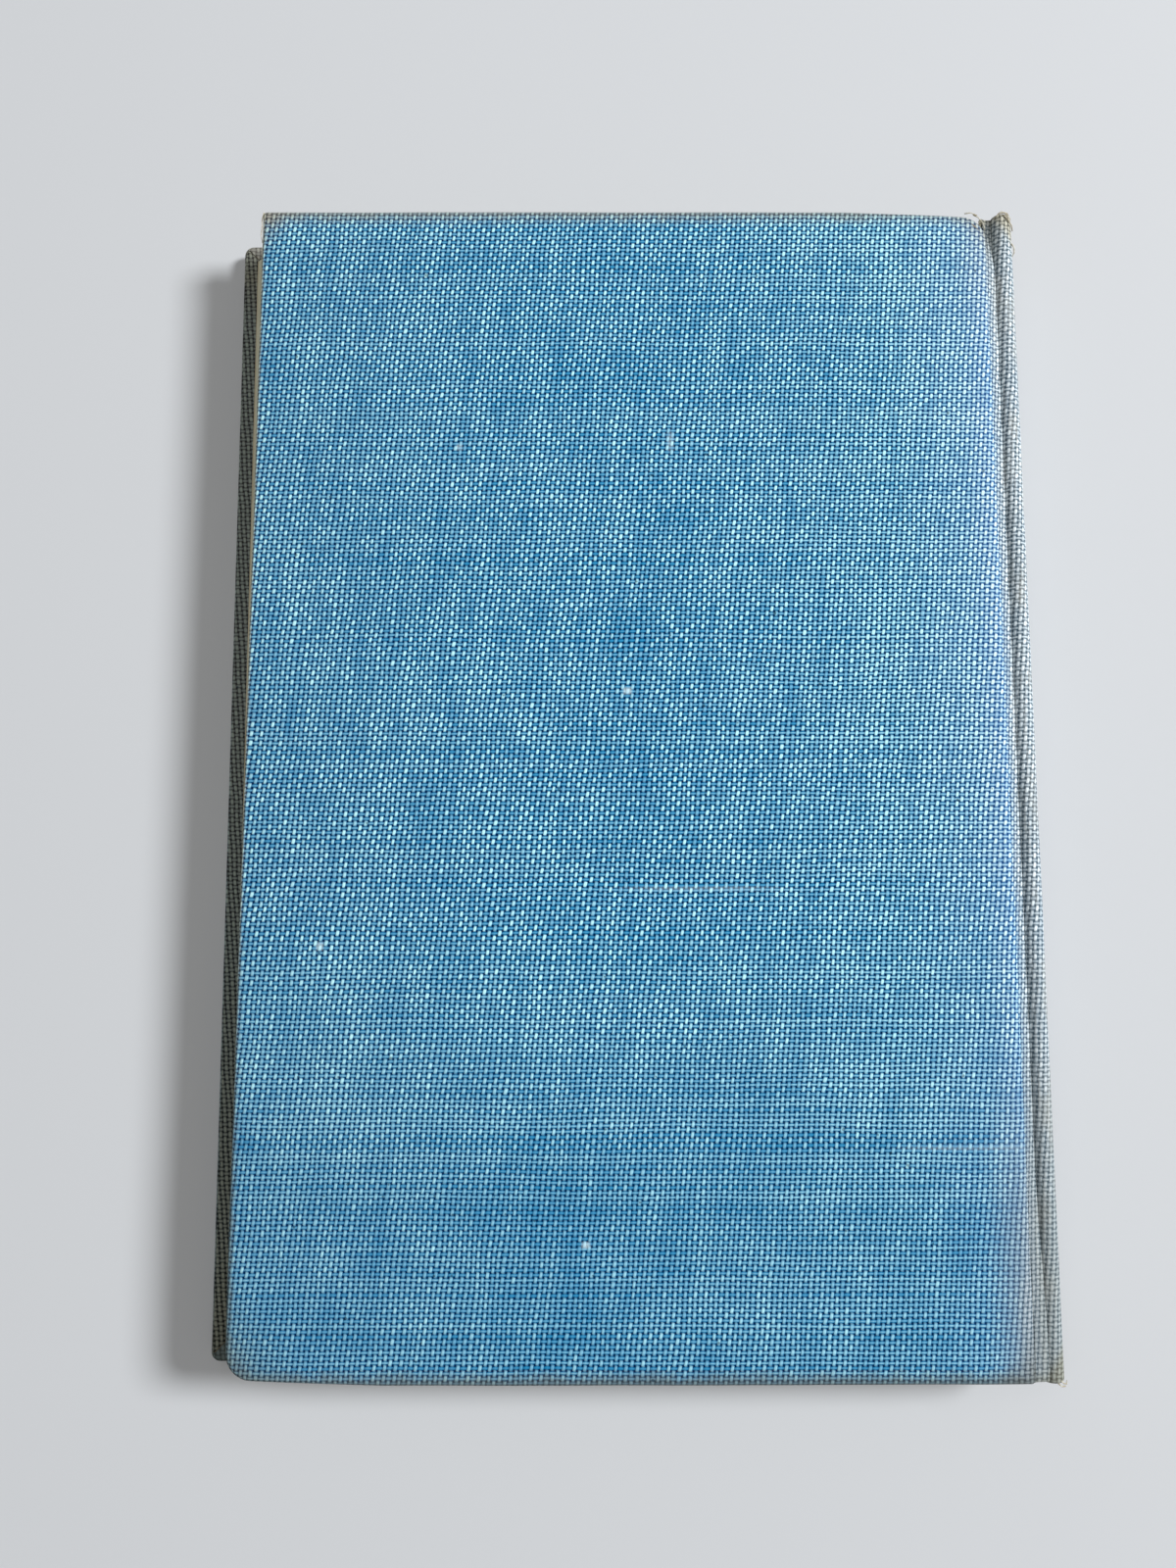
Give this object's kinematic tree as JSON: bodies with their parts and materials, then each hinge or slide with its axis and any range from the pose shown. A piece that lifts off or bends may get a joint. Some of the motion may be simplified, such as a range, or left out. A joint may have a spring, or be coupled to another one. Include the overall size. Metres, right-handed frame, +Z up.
{
  "type": "hardback book",
  "caption": "Small cloth-bound hardback book, closed and lying flat, with worn blue cloth, a leaning spine and covers that open.",
  "frame": {"origin": "middle of the book's footprint, on the surface that it lies on", "axes": "+X from the fore edge to the spine, +Y from tail to head, +Z up out of the back cover"},
  "size_m": [0.134, 0.19, 0.0134],
  "materials": {
    "pages": "aged uncoated paper, edges tan",
    "thread": "linen thread",
    "endpaper": "aged uncoated paper, slightly spotted",
    "gauze": "open starched gauze",
    "kraft_paper": "brown paper",
    "inlay_card": "thin grey-brown card",
    "board": "straw board",
    "blue_cloth": "plain-weave book cloth, faded and soiled at the edges",
    "faded_cloth": "plain-weave book cloth, faded to grey-beige"
  },
  "bodies": {
    "text_block": {"text_block": "pages", "sewing_thread": "thread", "front_flyleaf": "endpaper", "back_flyleaf": "endpaper", "mull": "gauze", "spine_lining": "kraft_paper", "spine_inlay": "inlay_card", "spine_cloth": "faded_cloth"},
    "front_cover": {"front_board": "board", "front_cloth": "blue_cloth", "front_mull_flap": "gauze", "front_pastedown": "endpaper"},
    "back_cover": {"back_board": "board", "back_cloth": "blue_cloth", "back_mull_flap": "gauze", "back_pastedown": "endpaper"}
  },
  "joints": [
    {"name": "front_cover_hinge", "type": "hinge", "parent": "text_block", "child": "front_cover", "pos_m": [0.05949, 0, 0.00147], "axis": [0, -1, 0], "range_deg": [0, 180]},
    {"name": "back_cover_hinge", "type": "hinge", "parent": "text_block", "child": "back_cover", "pos_m": [0.06489, 0, 0.01192], "axis": [0, 1, 0], "range_deg": [0, 180]}
  ]
}
